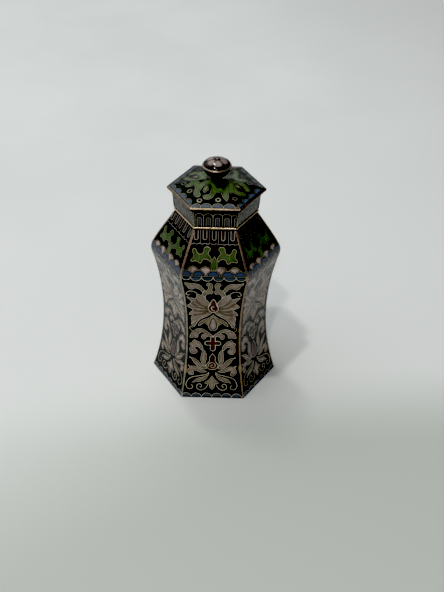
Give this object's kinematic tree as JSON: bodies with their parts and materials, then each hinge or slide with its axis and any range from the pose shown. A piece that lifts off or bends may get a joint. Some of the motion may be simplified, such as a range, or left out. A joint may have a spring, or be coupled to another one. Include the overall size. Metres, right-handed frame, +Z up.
{
  "type": "hexagonal cloisonne jar with lid",
  "caption": "Waisted hexagonal lidded jar in black cloisonne enamel with lotus scrolls and gilt wires; the lid lifts off to reach the hollow inside.",
  "frame": {"origin": "centre of the base, on the surface that the jar stands on", "axes": "+Z up along the jar's axis, two flat sides facing -Y and +Y, two corners on the X axis"},
  "size_m": [0.0584, 0.0508, 0.1124],
  "materials": {
    "black_enamel": "glossy fused enamel on copper",
    "gilt": "worn gilding on copper, softly polished",
    "lid_enamel": "glossy fused enamel on copper",
    "knob_enamel": "glossy fused enamel on copper",
    "pink_enamel": "glossy opaque pink-white enamel",
    "blue_enamel": "glossy blue enamel",
    "green_enamel": "glossy green enamel",
    "red_enamel": "glossy red-brown enamel"
  },
  "bodies": {
    "root": {"jar_body": "black_enamel", "neck_collar": "gilt", "lid": "lid_enamel", "lid_knob": "knob_enamel"}
  },
  "joints": []
}
